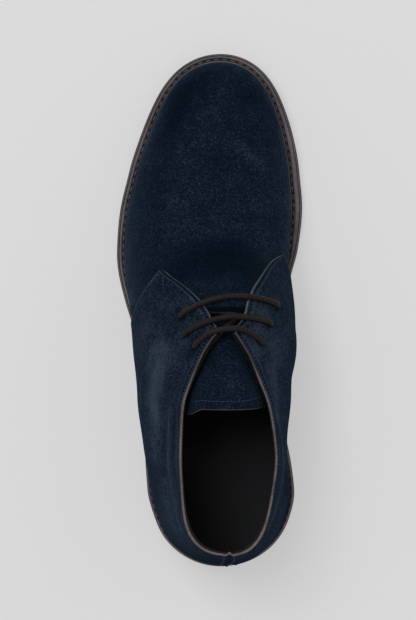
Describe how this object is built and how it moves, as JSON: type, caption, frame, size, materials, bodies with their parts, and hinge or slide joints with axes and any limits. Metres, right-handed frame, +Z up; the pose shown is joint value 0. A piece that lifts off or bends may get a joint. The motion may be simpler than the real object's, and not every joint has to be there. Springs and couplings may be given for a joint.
{
  "type": "chukka boot",
  "caption": "Left-foot suede ankle boot with an open collar, laced facings over a tongue, a stitched welt and a low rubber heel.",
  "frame": {"origin": "on the floor, at the middle of the sole's outline in plan", "axes": "-Y towards the toe, +X towards the outer (lateral) side of the foot, +Z up"},
  "size_m": [0.1088, 0.3, 0.128],
  "materials": {
    "sole_rubber": "matte black-brown rubber",
    "heel_stack": "dark dyed stacked leather",
    "welt": "grey-brown leather, stitched along its top",
    "sock": "smooth near-black leather",
    "suede": "navy suede with a short uneven nap",
    "lace": "round waxed cotton, dark brown"
  },
  "bodies": {
    "root": {"outsole": "sole_rubber", "heel_block": "heel_stack", "heel_top_piece": "sole_rubber", "welt": "welt", "insole": "sock", "upper": "suede", "tongue": "suede", "lace": "lace"}
  },
  "joints": []
}
